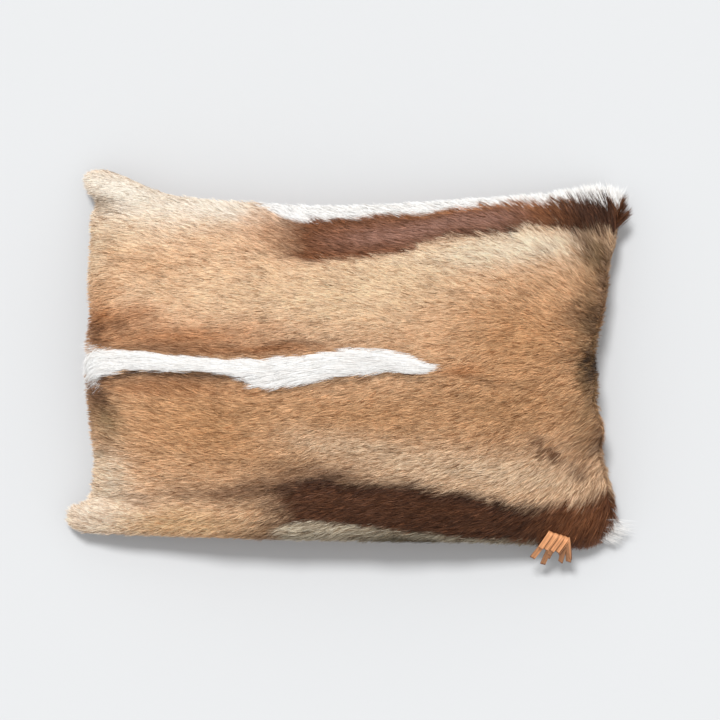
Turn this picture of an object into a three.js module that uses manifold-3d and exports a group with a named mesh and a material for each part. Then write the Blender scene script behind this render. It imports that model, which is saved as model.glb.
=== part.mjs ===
// A filled cushion cover made of springbok hide, lying on its back, with a leather tassel at its bottom edge.
// The hair side looks up along +Z and the long side runs along X. The origin is the middle of the flat that it rests on.
// Lengths are in millimetres and angles in degrees, turning from +X towards +Y.
import * as THREE from "three";
import { mergeVertices } from "three/addons/utils/BufferGeometryUtils.js";
import Module from "manifold-3d";

const wasm = await Module();
wasm.setup();

// Driving dimensions of the filled cover
const HALF_LENGTH = 283;
const HALF_WIDTH = 187;
const SEAM_HEIGHT = 46; // of the seam above the floor, at the middle of a side
const CORNER_DROOP = 28; // how much lower the seam lies at a corner
const FACE_CROWN = 72; // of the hair side above the seam
const PILE = 6; // depth of the coat as it lies
const RIM = 10; // width of the strip over which the coat rounds to the seam
const FLAT = { long: 0.6, short: 0.54 }; // shares of the half length and half width that lie flat on the floor
const BACK_ROUNDNESS = 0.6; // a lower power leaves a rounder side between the flat and the seam
const PIECE_GAP = 0.4; // between the tassel and the coat that it lies on

// How fast the filling falls away to the sides: a higher power leaves a flatter middle
const FULLNESS = { long: 2.9, short: 2.3, root: 0.55 };

// Grid of the face and of the back, with lines that crowd towards the seam and along the crest
const COLUMNS = 46;
const ROWS = 36;
const SEAM_CROWD = { more: 4, power: 14 };
const CREST_CROWD = { more: 1.6, reach: 0.1 };

// Edges of the filled cover seen from above, from corner to corner. Left and right run downwards.
const TOP_EDGE = [
  { x: -287, y: 212 }, { x: -280, y: 220 }, { x: -264, y: 221 }, { x: -242, y: 213 },
  { x: -222, y: 204 }, { x: -200, y: 195 }, { x: -159, y: 188 }, { x: -104, y: 184 },
  { x: -50, y: 180 }, { x: 37, y: 181 }, { x: 113, y: 186 }, { x: 190, y: 191 },
  { x: 250, y: 197 }, { x: 282, y: 199 }, { x: 301, y: 191 },
];
const BOTTOM_EDGE = [
  { x: -306, y: -174 }, { x: -291, y: -183 }, { x: -257, y: -185 }, { x: -181, y: -187 },
  { x: -93, y: -189 }, { x: 81, y: -192 }, { x: 168, y: -194 }, { x: 233, y: -197 },
  { x: 262, y: -195 }, { x: 280, y: -184 },
];
const LEFT_EDGE = [
  { x: -287, y: 212 }, { x: -290, y: 203 }, { x: -287, y: 192 }, { x: -278, y: 182 },
  { x: -276, y: 174 }, { x: -281, y: 160 }, { x: -281, y: 132 }, { x: -283, y: 91 },
  { x: -281, y: 56 }, { x: -286, y: 12 }, { x: -284, y: -31 }, { x: -281, y: -64 },
  { x: -277, y: -94 }, { x: -279, y: -118 }, { x: -283, y: -138 }, { x: -293, y: -148 },
  { x: -305, y: -151 }, { x: -310, y: -162 }, { x: -306, y: -174 },
];
const RIGHT_EDGE = [
  { x: 301, y: 191 }, { x: 303, y: 176 }, { x: 299, y: 156 }, { x: 295, y: 134 },
  { x: 287, y: 108 }, { x: 284, y: 78 }, { x: 279, y: 54 }, { x: 272, y: 29 },
  { x: 270, y: 7 }, { x: 273, y: -18 }, { x: 271, y: -36 }, { x: 278, y: -54 },
  { x: 282, y: -68 }, { x: 278, y: -88 }, { x: 284, y: -108 }, { x: 290, y: -128 },
  { x: 292, y: -146 }, { x: 289, y: -167 }, { x: 280, y: -184 },
];

// Hollows where the seam draws the filled hide in: place, heading, half length, half width and depth
const PUCKERS = [
  { x: 266, y: 6, heading: 184, long: 30, wide: 9, deep: 12 },
  { x: 252, y: 66, heading: 200, long: 20, wide: 10, deep: 5 },
  { x: 262, y: 138, heading: 130, long: 24, wide: 11, deep: 7 },
  { x: 276, y: -86, heading: 165, long: 22, wide: 8, deep: 6 },
  { x: 168, y: -90, heading: 140, long: 20, wide: 11, deep: 3.5 },
  { x: 212, y: -106, heading: 150, long: 18, wide: 10, deep: 3 },
  { x: -268, y: 178, heading: -12, long: 30, wide: 9, deep: 9 },
  { x: -266, y: 132, heading: 18, long: 26, wide: 8, deep: 4 },
  { x: -272, y: -40, heading: -50, long: 30, wide: 12, deep: 8 },
  { x: -266, y: -92, heading: -8, long: 24, wide: 10, deep: 5 },
  { x: -262, y: -142, heading: -10, long: 34, wide: 9, deep: 9 },
  { x: -205, y: -118, heading: -30, long: 34, wide: 12, deep: 3.5 },
  { x: -60, y: -112, heading: 10, long: 40, wide: 12, deep: 2.5 },
];

// Gentle unevenness of the filling under the hide: wave lengths along X and Y, start and height
const LUMPS = [
  { alongX: 190, alongY: 150, start: 0.4, high: 1.6 },
  { alongX: 96, alongY: -120, start: 2.1, high: 1.0 },
  { alongX: 61, alongY: 83, start: 4.0, high: 0.6 },
];

// Crest of long white hair that lies along the middle of the hide: its upper and lower edge along X
const CREST_HEIGHT = 5;
const CREST_FULL = 10; // half width from which the ridge has its full height
const CREST = [
  { x: -292, top: 20, bottom: -8 }, { x: -261, top: 20, bottom: -8 }, { x: -228, top: 18, bottom: -2 },
  { x: -195, top: 15, bottom: -3 }, { x: -161, top: 11, bottom: -4 }, { x: -128, top: 10, bottom: -6 },
  { x: -104, top: 11, bottom: -11 }, { x: -85, top: 11, bottom: -23 }, { x: -61, top: 13, bottom: -20 },
  { x: -39, top: 16, bottom: -15 }, { x: -9, top: 19, bottom: -9 }, { x: 22, top: 21, bottom: -8 },
  { x: 52, top: 19, bottom: -2 }, { x: 70, top: 13, bottom: -8 }, { x: 84, top: 9, bottom: -9 },
  { x: 104, top: 1, bottom: -1 },
];

// Locks of long hair that stand past the seam, in rows along the rim. Each row runs between two
// shares of a side, and its headings and lengths run from the first lock to the last.
const LOCK_WIDTH = 12;
const LOCK_FLATNESS = 0.5; // thickness over width
const LOCK_ROOT = 9; // how far inside the rim a lock starts
const LOCK_SECOND = { higher: 2.5, shorter: 0.82 }; // every other lock of a row
const LOCK_ROWS = [
  { side: "top", from: 0.9, to: 0.995, count: 8, heading: [128, 92], length: [13, 21], droop: 2 },
  { side: "right", from: 0.0, to: 0.09, count: 6, heading: [70, 18], length: [27, 16], droop: 4 },
  { side: "right", from: 0.62, to: 0.68, count: 3, heading: [-40, -58], length: [12, 14], droop: 3 },
  { side: "right", from: 0.8, to: 0.93, count: 6, heading: [-56, -70], length: [15, 20], droop: 5 },
  { side: "right", from: 0.94, to: 1.0, count: 5, heading: [-26, -40], length: [40, 32], droop: 9 },
  { side: "bottom", from: 0.965, to: 0.995, count: 3, heading: [-62, -50], length: [20, 28], droop: 8 },
  { side: "left", from: 0.46, to: 0.55, count: 6, heading: [168, 226], length: [11, 12], droop: 3 },
];

// Tassel of leather strips, folded over the pull at the end of the bottom seam, where it lies on the coat
const STRIP = { width: 6.5, thickness: 1.6, early: 0.42, steps: 7 }; // early: share of the drop half way out
const FOLD = { x: 228, y: -183, z: 55, heading: -20, fall: 16, length: 24, radius: 2.6 };

// Strips from the top layer down. A strip starts at a place along the fold and rises over it. Its end
// lies off the fold's middle by x and y, lower than its start by drop, and turned on its edge by turn.
const STRIPS = [
  { along: -8.8, rise: 3.2, x: -18.2, y: -12.7, drop: 10, turn: -6 },
  { along: -2.2, rise: 3.2, x: -12.4, y: -14.6, drop: 11, turn: 0 },
  { along: 4.0, rise: 3.2, x: -6.0, y: -16.2, drop: 11, turn: 4 },
  { along: 8.8, rise: 2.6, x: -0.4, y: -16.8, drop: 10, turn: 10 },
  { along: -8.4, rise: 0.8, x: -26.5, y: -24.2, drop: 23, turn: -8 },
  { along: -2.6, rise: 0.8, x: -9.2, y: -20.6, drop: 20, turn: 6 },
  { along: 10.4, rise: 1.2, x: 2.4, y: -19.0, drop: 16, turn: 62 },
  { along: 0.6, rise: -0.8, x: -9.8, y: -24.4, drop: 23, turn: -4 },
  { along: 9.6, rise: -0.6, x: 4.8, y: -29.2, drop: 26, turn: 36 },
  { along: 11.4, rise: 1.4, x: 14.8, y: -25.0, drop: 20, turn: 68 },
  { along: 11.0, rise: -0.8, x: 13.6, y: -28.8, drop: 25, turn: 30 },
  { along: -3.4, rise: -2.4, x: -14.6, y: -31.6, drop: 29, turn: -6 },
];

const COAT = new THREE.MeshStandardMaterial({ color: 0xc0905e, roughness: 0.85, metalness: 0 });
const LEATHER = new THREE.MeshStandardMaterial({ color: 0xd98f5c, roughness: 0.6, metalness: 0 });

const radians = THREE.MathUtils.degToRad;

// A smooth line through the rows of a table, as a function of the share 0 to 1 of its length.
function edgeCurve(rows) {
  const at = [0];
  for (let i = 1; i < rows.length; i++)
    at.push(at[i - 1] + Math.hypot(rows[i].x - rows[i - 1].x, rows[i].y - rows[i - 1].y));
  return (share) => {
    const place = share * at[at.length - 1];
    return { x: smoothValue(rows, at, "x", place), y: smoothValue(rows, at, "y", place) };
  };
}

// Cubic interpolation of one column of a table whose rows stand at rising places.
function smoothValue(rows, at, column, place) {
  const last = rows.length - 1;
  let i = 0;
  while (i < last - 1 && place > at[i + 1]) i++;
  const slope = (k) => {
    const a = Math.max(k - 1, 0);
    const b = Math.min(k + 1, last);
    return (rows[b][column] - rows[a][column]) / (at[b] - at[a]);
  };
  const span = at[i + 1] - at[i];
  const w = THREE.MathUtils.clamp((place - at[i]) / span, 0, 1);
  return (
    rows[i][column] * (1 + 2 * w) * (1 - w) ** 2 +
    rows[i + 1][column] * w * w * (3 - 2 * w) +
    slope(i) * span * w * (1 - w) ** 2 -
    slope(i + 1) * span * w * w * (1 - w)
  );
}

const edges = {
  top: edgeCurve(TOP_EDGE),
  bottom: edgeCurve(BOTTOM_EDGE),
  left: edgeCurve(LEFT_EDGE),
  right: edgeCurve(RIGHT_EDGE),
};

// Place seen from above of a point of the cover, where s and t run from -1 to 1 along X and Y.
function planPoint(s, t) {
  const u = (s + 1) / 2;
  const v = (t + 1) / 2;
  const [low, high] = [edges.bottom(u), edges.top(u)];
  const [west, east] = [edges.left(1 - v), edges.right(1 - v)];
  const mix = (axis) =>
    (1 - v) * low[axis] + v * high[axis] + (1 - u) * west[axis] + u * east[axis] -
    (1 - u) * (1 - v) * BOTTOM_EDGE[0][axis] - u * (1 - v) * BOTTOM_EDGE.at(-1)[axis] -
    (1 - u) * v * TOP_EDGE[0][axis] - u * v * TOP_EDGE.at(-1)[axis];
  return { x: mix("x"), y: mix("y") };
}

// Share of the crown at a point: 1 in the middle, 0 all round the seam.
function filling(s, t) {
  const along = 1 - Math.abs(s) ** FULLNESS.long;
  const across = 1 - Math.abs(t) ** FULLNESS.short;
  return Math.max(along * across, 0) ** FULLNESS.root;
}

// Rises from 0 at the seam to 1 over the width of the rim, as a quarter round.
function rounding(s, t) {
  const quarter = (distance) => Math.sqrt(1 - (1 - Math.min(distance / RIM, 1)) ** 2);
  return quarter((1 - Math.abs(s)) * HALF_LENGTH) * quarter((1 - Math.abs(t)) * HALF_WIDTH);
}

const seamHeight = (s, t) => SEAM_HEIGHT - CORNER_DROOP * s * s * t * t;

function puckers(x, y) {
  let sum = 0;
  for (const p of PUCKERS) {
    const [c, n] = [Math.cos(radians(p.heading)), Math.sin(radians(p.heading))];
    const along = ((x - p.x) * c + (y - p.y) * n) / p.long;
    const across = ((y - p.y) * c - (x - p.x) * n) / p.wide;
    sum += p.deep * Math.exp(-along * along - across * across);
  }
  return sum;
}

function lumps(x, y) {
  return LUMPS.reduce(
    (sum, l) => sum + l.high * Math.sin((2 * Math.PI * x) / l.alongX + (2 * Math.PI * y) / l.alongY + l.start),
    0,
  );
}

// The crest's height over the coat: a low rounded ridge that thins out at its right end.
function crest(x, y) {
  const at = CREST.map((row) => row.x);
  if (x > at.at(-1)) return 0;
  const top = smoothValue(CREST, at, "top", x);
  const bottom = smoothValue(CREST, at, "bottom", x);
  const half = (top - bottom) / 2;
  const across = (y - (top + bottom) / 2) / half;
  return CREST_HEIGHT * Math.min(half / CREST_FULL, 1) * Math.sqrt(Math.max(1 - across * across, 0));
}

function facePoint(s, t) {
  const { x, y } = planPoint(s, t);
  const relief = PILE + lumps(x, y) + crest(x, y) - puckers(x, y);
  const z = seamHeight(s, t) + FACE_CROWN * filling(s, t) + relief * rounding(s, t);
  return [x, y, z];
}

function backPoint(s, t) {
  const { x, y } = planPoint(s, t);
  const past = (share, flat) => Math.max((Math.abs(share) - flat) / (1 - flat), 0);
  const left = (1 - past(s, FLAT.long) ** 2) * (1 - past(t, FLAT.short) ** 2);
  return [x, y, seamHeight(s, t) * (1 - left ** BACK_ROUNDNESS)];
}

// Grid lines from -1 to 1 with as much of the given density between one line and the next, and with a
// line at both ends of the flat.
function gridLines(count, density, flat) {
  const fine = 2000;
  const total = [0];
  for (let i = 0; i < fine; i++) total.push(total[i] + density((2 * (i + 0.5)) / fine - 1));
  const lines = [];
  let i = 0;
  for (let k = 0; k <= count; k++) {
    const wanted = (total[fine] * k) / count;
    while (i < fine - 1 && total[i + 1] < wanted) i++;
    const part = (wanted - total[i]) / (total[i + 1] - total[i]);
    lines.push(THREE.MathUtils.clamp((2 * (i + part)) / fine - 1, -1, 1));
  }
  for (const end of [-flat, flat]) {
    const gaps = lines.map((line) => Math.abs(line - end));
    lines[gaps.indexOf(Math.min(...gaps))] = end;
  }
  return lines;
}

// The filled cover: a grid for the face and one for the back, which meet along the seam.
function coverGeometry() {
  const bySeam = (share) => 1 + SEAM_CROWD.more * Math.abs(share) ** SEAM_CROWD.power;
  const byCrest = (share) => CREST_CROWD.more * Math.exp(-((share / CREST_CROWD.reach) ** 2));
  const across = gridLines(COLUMNS, bySeam, FLAT.long);
  const down = gridLines(ROWS, (share) => bySeam(share) + byCrest(share), FLAT.short);
  const positions = [];
  const indices = [];
  for (const point of [facePoint, backPoint])
    for (const t of down) for (const s of across) positions.push(...point(s, t));
  const wide = COLUMNS + 1;
  const layer = wide * (ROWS + 1);
  for (let row = 0; row < ROWS; row++)
    for (let column = 0; column < COLUMNS; column++) {
      const a = row * wide + column;
      const [b, c, d] = [a + 1, a + 1 + wide, a + wide];
      indices.push(a, b, c, a, c, d);
      indices.push(layer + a, layer + c, layer + b, layer + a, layer + d, layer + c);
    }
  const geometry = new THREE.BufferGeometry();
  geometry.setAttribute("position", new THREE.Float32BufferAttribute(positions, 3));
  geometry.setIndex(indices);
  return geometry;
}

// One lock: a flattened cone that starts inside the rim and sinks a little towards its tip.
function lockGeometry(root, heading, length, droop) {
  const whole = length + LOCK_ROOT;
  const cone = new THREE.ConeGeometry(LOCK_WIDTH / 2, whole, 4, 3);
  cone.translate(0, whole / 2 - LOCK_ROOT, 0);
  cone.scale(1, 1, LOCK_FLATNESS);
  const position = cone.getAttribute("position");
  for (let i = 0; i < position.count; i++) {
    const share = Math.max(position.getY(i), 0) / length;
    position.setZ(i, position.getZ(i) - droop * share * share);
  }
  cone.rotateZ(radians(heading) - Math.PI / 2);
  return cone.translate(root.x, root.y, root.z);
}

function lockGeometries() {
  const locks = [];
  for (const row of LOCK_ROWS)
    for (let i = 0; i < row.count; i++) {
      const share = i / (row.count - 1);
      const place = THREE.MathUtils.lerp(row.from, row.to, share);
      const { x, y } = edges[row.side](place);
      const along = 2 * place - 1;
      const z = SEAM_HEIGHT - CORNER_DROOP * along * along + (i % 2) * LOCK_SECOND.higher;
      const heading = THREE.MathUtils.lerp(...row.heading, share);
      const length = THREE.MathUtils.lerp(...row.length, share) * LOCK_SECOND.shorter ** (i % 2);
      locks.push(lockGeometry({ x, y, z }, heading, length, row.droop));
    }
  return locks;
}

// One strip: a flat band that comes over the fold, runs outwards and droops, and turns a little on its edge.
function stripGeometry({ along, rise, x, y, drop, turn }) {
  const foldWay = new THREE.Vector3(1, 0, -Math.tan(radians(FOLD.fall)));
  foldWay.applyAxisAngle(new THREE.Vector3(0, 0, 1), radians(FOLD.heading));
  const root = new THREE.Vector3(FOLD.x, FOLD.y, FOLD.z).addScaledVector(foldWay, along);
  const outwards = new THREE.Vector3(FOLD.x + x - root.x, FOLD.y + y - root.y, 0);
  const reach = outwards.length();
  outwards.normalize();
  const at = (out, up) => root.clone().addScaledVector(outwards, out).add(new THREE.Vector3(0, 0, up));
  const middle = new THREE.CatmullRomCurve3([
    at(-FOLD.radius, 0),
    at(-FOLD.radius * 0.4, rise * 0.8),
    at(FOLD.radius * 0.6, rise),
    at(reach / 2, rise - drop * STRIP.early),
    at(reach, rise - drop),
  ]);
  const level = new THREE.Vector3(-outwards.y, outwards.x, 0);
  const positions = [];
  for (let i = 0; i <= STRIP.steps; i++) {
    const share = i / STRIP.steps;
    const place = middle.getPoint(share);
    const way = middle.getTangent(share);
    const side = level.clone().applyAxisAngle(way, radians(turn) * share);
    const up = new THREE.Vector3().crossVectors(way, side);
    for (const [w, h] of [[1, 1], [-1, 1], [-1, -1], [1, -1]])
      positions.push(
        ...place.clone().addScaledVector(side, (w * STRIP.width) / 2).addScaledVector(up, (h * STRIP.thickness) / 2),
      );
  }
  const indices = [0, 2, 1, 0, 3, 2];
  for (let i = 0; i < STRIP.steps * 4; i += 4)
    for (let k = 0; k < 4; k++) {
      const [a, b] = [i + k, i + ((k + 1) % 4)];
      indices.push(a, b + 4, a + 4, a, b, b + 4);
    }
  const last = STRIP.steps * 4;
  indices.push(last, last + 1, last + 2, last, last + 2, last + 3);
  const geometry = new THREE.BufferGeometry();
  geometry.setAttribute("position", new THREE.Float32BufferAttribute(positions, 3));
  geometry.setIndex(indices);
  return geometry;
}

// The roll inside the fold, over which every strip of the tassel bends.
function rollGeometry() {
  const roll = new THREE.CylinderGeometry(FOLD.radius, FOLD.radius, FOLD.length, 10);
  roll.rotateZ(Math.PI / 2);
  roll.rotateY(radians(FOLD.fall));
  roll.rotateZ(radians(FOLD.heading));
  return roll.translate(FOLD.x, FOLD.y, FOLD.z);
}

function toSolid(geometry) {
  const bare = geometry.clone();
  bare.deleteAttribute("normal");
  bare.deleteAttribute("uv");
  const merged = mergeVertices(bare, 1e-3);
  return new wasm.Manifold(
    new wasm.Mesh({
      numProp: 3,
      vertProperties: new Float32Array(merged.getAttribute("position").array),
      triVerts: new Uint32Array(merged.index.array),
    }),
  );
}

function toGeometry(solid) {
  const mesh = solid.getMesh();
  const geometry = new THREE.BufferGeometry();
  geometry.setAttribute("position", new THREE.Float32BufferAttribute(mesh.vertProperties, mesh.numProp));
  geometry.setIndex(new THREE.BufferAttribute(mesh.triVerts, 1));
  geometry.computeVertexNormals();
  return geometry;
}

function namedMesh(name, solid, material) {
  const mesh = new THREE.Mesh(toGeometry(solid), material);
  mesh.name = name;
  return mesh;
}

const cover = lockGeometries().reduce((sum, lock) => sum.add(toSolid(lock)), toSolid(coverGeometry()));

// The tassel clears the coat: it is cut by the cover moved a little up and a little outwards.
const coverRaised = toSolid(toGeometry(cover).translate(0, 0, PIECE_GAP));
const coverWidened = toSolid(toGeometry(cover).translate(0, -PIECE_GAP, 0));
const tassel = STRIPS.reduce((sum, strip) => sum.add(toSolid(stripGeometry(strip))), toSolid(rollGeometry()))
  .subtract(coverRaised)
  .subtract(coverWidened);

const cushion = new THREE.Group();
cushion.add(namedMesh("cushion", cover, COAT));
cushion.add(namedMesh("tassel", tassel, LEATHER));

export default cushion;
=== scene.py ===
# Looks of the springbok hide cushion: the coat hair by hair, its markings, the suede back and the tassel.
# The tables of sizes are in millimetres, as the solids are, and turn to metres where a mesh is made.
# The photograph looks straight at the hair side, so the camera is above the cushion as it lies on its back.
import math

import bpy
import numpy as np
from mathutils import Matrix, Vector


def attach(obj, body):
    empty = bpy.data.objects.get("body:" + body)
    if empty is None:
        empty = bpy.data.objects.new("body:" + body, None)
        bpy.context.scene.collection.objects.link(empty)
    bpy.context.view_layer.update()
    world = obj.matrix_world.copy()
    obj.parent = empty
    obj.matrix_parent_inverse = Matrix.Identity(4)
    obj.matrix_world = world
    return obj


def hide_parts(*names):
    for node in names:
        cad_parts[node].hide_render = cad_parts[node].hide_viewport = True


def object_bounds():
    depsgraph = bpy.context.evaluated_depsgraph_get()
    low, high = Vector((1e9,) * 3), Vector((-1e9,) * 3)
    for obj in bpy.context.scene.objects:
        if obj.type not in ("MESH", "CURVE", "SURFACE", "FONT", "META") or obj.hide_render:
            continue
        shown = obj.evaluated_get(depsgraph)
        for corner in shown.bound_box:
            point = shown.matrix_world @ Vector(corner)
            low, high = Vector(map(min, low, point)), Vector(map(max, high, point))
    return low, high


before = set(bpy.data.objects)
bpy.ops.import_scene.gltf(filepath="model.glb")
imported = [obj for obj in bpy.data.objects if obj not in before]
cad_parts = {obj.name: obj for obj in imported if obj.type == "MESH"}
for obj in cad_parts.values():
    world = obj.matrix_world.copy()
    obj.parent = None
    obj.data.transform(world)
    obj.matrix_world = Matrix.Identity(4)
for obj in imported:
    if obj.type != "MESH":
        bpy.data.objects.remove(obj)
cad_low, cad_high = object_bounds()

MM = 0.001

# One source of random numbers for all guides, hairs and strips
SEED = 21
rng = np.random.default_rng(SEED)

# Sizes of the filled cover, the same as those of its solid
HALF_LENGTH = 283
HALF_WIDTH = 187
SEAM_HEIGHT = 46
CORNER_DROOP = 28
FACE_CROWN = 72
RIM = 10
FLAT = {"long": 0.6, "short": 0.54}
BACK_ROUNDNESS = 0.6
FULLNESS = {"long": 2.9, "short": 2.3, "root": 0.55}

# The crest's height, its half width where it is so high, and the place across it past its end
CREST_HEIGHT = 5
CREST_FULL = 10
OFF_CREST = 9

# Edges of the cover seen from above, as x and y. Left and right run downwards.
TOP_EDGE = (
    (-287, 212), (-280, 220), (-264, 221), (-242, 213), (-222, 204), (-200, 195), (-159, 188), (-104, 184),
    (-50, 180), (37, 181), (113, 186), (190, 191), (250, 197), (282, 199), (301, 191),
)
BOTTOM_EDGE = (
    (-306, -174), (-291, -183), (-257, -185), (-181, -187), (-93, -189), (81, -192), (168, -194), (233, -197),
    (262, -195), (280, -184),
)
LEFT_EDGE = (
    (-287, 212), (-290, 203), (-287, 192), (-278, 182), (-276, 174), (-281, 160), (-281, 132), (-283, 91),
    (-281, 56), (-286, 12), (-284, -31), (-281, -64), (-277, -94), (-279, -118), (-283, -138), (-293, -148),
    (-305, -151), (-310, -162), (-306, -174),
)
RIGHT_EDGE = (
    (301, 191), (303, 176), (299, 156), (295, 134), (287, 108), (284, 78), (279, 54), (272, 29), (270, 7),
    (273, -18), (271, -36), (278, -54), (282, -68), (278, -88), (284, -108), (290, -128), (292, -146),
    (289, -167), (280, -184),
)


# Hollows by the seam: x, y, heading, half length, half width and depth
PUCKERS = (
    (266, 6, 184, 30, 9, 12), (252, 66, 200, 20, 10, 5), (262, 138, 130, 24, 11, 7),
    (276, -86, 165, 22, 8, 6), (168, -90, 140, 20, 11, 3.5), (212, -106, 150, 18, 10, 3),
    (-268, 178, -12, 30, 9, 9), (-266, 132, 18, 26, 8, 4), (-272, -40, -50, 30, 12, 8),
    (-266, -92, -8, 24, 10, 5), (-262, -142, -10, 34, 9, 9), (-205, -118, -30, 34, 12, 3.5),
    (-60, -112, 10, 40, 12, 2.5),
)

# Unevenness of the filling: wave lengths along X and Y, start and height
LUMPS = ((190, 150, 0.4, 1.6), (96, -120, 2.1, 1.0), (61, 83, 4.0, 0.6))

# Crest of long white hair: x with its upper and lower edge there
CREST = (
    (-292, 20, -8), (-261, 20, -8), (-228, 18, -2), (-195, 15, -3), (-161, 11, -4), (-128, 10, -6),
    (-104, 11, -11), (-85, 11, -23), (-61, 13, -20), (-39, 16, -15), (-9, 19, -9), (22, 21, -8),
    (52, 19, -2), (70, 13, -8), (84, 9, -9), (104, 1, -1),
)


# Smooth lines through tables

def smooth_column(at, values, places):
    """Cubic interpolation of values that stand at rising places, with slopes from their neighbours."""
    at = np.asarray(at, float)
    values = np.asarray(values, float)
    before = np.r_[0, np.arange(len(at) - 1)]
    after = np.r_[np.arange(1, len(at)), len(at) - 1]
    slope = (values[after] - values[before]) / (at[after] - at[before])
    i = np.clip(np.searchsorted(at, places, side="left") - 1, 0, len(at) - 2)
    span = at[i + 1] - at[i]
    w = np.clip((places - at[i]) / span, 0, 1)
    return (
        values[i] * (1 + 2 * w) * (1 - w) ** 2
        + values[i + 1] * w * w * (3 - 2 * w)
        + slope[i] * span * w * (1 - w) ** 2
        - slope[i + 1] * span * w * w * (1 - w)
    )


def line_through(rows, x, column=1):
    table = np.array(rows, float)
    return smooth_column(table[:, 0], table[:, column], x)


def edge_curve(rows):
    """A smooth line through x, y rows, as a function of the share 0 to 1 of its length."""
    rows = np.array(rows, float)
    at = np.r_[0, np.cumsum(np.hypot(*np.diff(rows, axis=0).T))]

    def point(share):
        place = share * at[-1]
        return np.stack([smooth_column(at, column, place) for column in rows.T], -1)

    return point


top_edge, bottom_edge = edge_curve(TOP_EDGE), edge_curve(BOTTOM_EDGE)
left_edge, right_edge = edge_curve(LEFT_EDGE), edge_curve(RIGHT_EDGE)


# Shares and directions

def ease(share):
    return share * share * (3 - 2 * share)


def ramp(value, start, end):
    """From 0 at the start to 1 at the end, with soft ends."""
    return ease(np.clip((value - start) / (end - start), 0, 1))


def spot(x, y, at_x, at_y, heading, long, wide):
    """A soft oval that is 1 in its middle."""
    c, n = math.cos(math.radians(heading)), math.sin(math.radians(heading))
    along = ((x - at_x) * c + (y - at_y) * n) / long
    across = ((y - at_y) * c - (x - at_x) * n) / wide
    return np.exp(-along * along - across * across)


def nearness(x, y, at_x, at_y, spread):
    return np.exp(-((x - at_x) ** 2 + (y - at_y) ** 2) / spread)


def unit(vectors):
    return vectors / np.maximum(np.linalg.norm(vectors, axis=-1, keepdims=True), 1e-9)


# Unevenness by name: wave lengths along X and Y, seed and height
UNEVEN = {
    "along": (34, 22, 3, 5), "across": (40, 18, 4, 4), "edges": (16, 9, 5, 2.2),
    "fine edges": (5, 5, 6, 1.2), "gathers": (60, 60, 8, 4), "heading": (22, 14, 11, 8),
    "shade": (26, 5, 12, 0.06), "strokes": (4, 1.7, 13, 1),
}
CELLS = 64
SHIFT = 500.5


def uneven(x, y, name):
    """Smooth unevenness to both sides of 0, between random values on a lattice."""
    wide, high, seed, size = UNEVEN[name]
    lattice = np.random.default_rng(seed).uniform(-1, 1, (CELLS, CELLS))
    u = x / wide + SHIFT
    v = y / high + SHIFT
    i = np.floor(u).astype(int)
    j = np.floor(v).astype(int)
    a = ease(u - i)
    b = ease(v - j)

    def row(k):
        return lattice[i % CELLS, k % CELLS] * (1 - a) + lattice[(i + 1) % CELLS, k % CELLS] * a

    return size * (row(j) * (1 - b) + row(j + 1) * b)


# The cover's surface, where s and t run from -1 to 1 along X and Y

def plan_point(s, t):
    u, v = (s + 1) / 2, (t + 1) / 2
    low, high = bottom_edge(u), top_edge(u)
    west, east = left_edge(1 - v), right_edge(1 - v)
    u, v = u[..., None], v[..., None]
    corners = (
        (1 - u) * (1 - v) * np.array(BOTTOM_EDGE[0])
        + u * (1 - v) * np.array(BOTTOM_EDGE[-1])
        + (1 - u) * v * np.array(TOP_EDGE[0])
        + u * v * np.array(TOP_EDGE[-1])
    )
    return (1 - v) * low + v * high + (1 - u) * west + u * east - corners


def filling(s, t):
    along = 1 - np.abs(s) ** FULLNESS["long"]
    across = 1 - np.abs(t) ** FULLNESS["short"]
    return np.maximum(along * across, 0) ** FULLNESS["root"]


def rounding(s, t):
    def quarter(distance):
        return np.sqrt(1 - (1 - np.clip(distance / RIM, 0, 1)) ** 2)

    return quarter((1 - np.abs(s)) * HALF_LENGTH) * quarter((1 - np.abs(t)) * HALF_WIDTH)


def seam_height(s, t):
    return SEAM_HEIGHT - CORNER_DROOP * s * s * t * t


def puckers(x, y):
    return sum(deep * spot(x, y, *place) for *place, deep in PUCKERS)


def lumps(x, y):
    return sum(
        high * np.sin(2 * math.pi * (x / along_x + y / along_y) + start)
        for along_x, along_y, start, high in LUMPS
    )


def crest_place(x, y):
    """The place across the crest, from -1 at its lower edge to 1 at its upper one, and its half width."""
    high = line_through(CREST, x, 1)
    low = line_through(CREST, x, 2)
    half = (high - low) / 2
    return np.where(x > CREST[-1][0], OFF_CREST, (y - (high + low) / 2) / half), half


def crest(x, y):
    across, half = crest_place(x, y)
    return CREST_HEIGHT * np.minimum(half / CREST_FULL, 1) * np.sqrt(np.maximum(1 - across * across, 0))


def back_height(s, t):
    def past(share, flat):
        return np.maximum((np.abs(share) - flat) / (1 - flat), 0)

    left = (1 - past(s, FLAT["long"]) ** 2) * (1 - past(t, FLAT["short"]) ** 2)
    return seam_height(s, t) * (1 - left**BACK_ROUNDNESS)


# The skin under the hair, drawn in from the seam so that the hair's ends reach the solid's outline

INSET = 3.4
SKIN_PILE = 1.5
SKIN_CREST = 0.6
DRAWN_IN = {"long": 1 - INSET / HALF_LENGTH, "short": 1 - INSET / HALF_WIDTH}

# Steps of s and t over which slopes are measured, and the limits of a move
NORMAL_STEP = 0.002
PLAN_STEP = 0.004
LEAST_AREA = 2000
FARTHEST = 0.2


def skin_plan(s, t):
    return plan_point(s * DRAWN_IN["long"], t * DRAWN_IN["short"])


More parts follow.
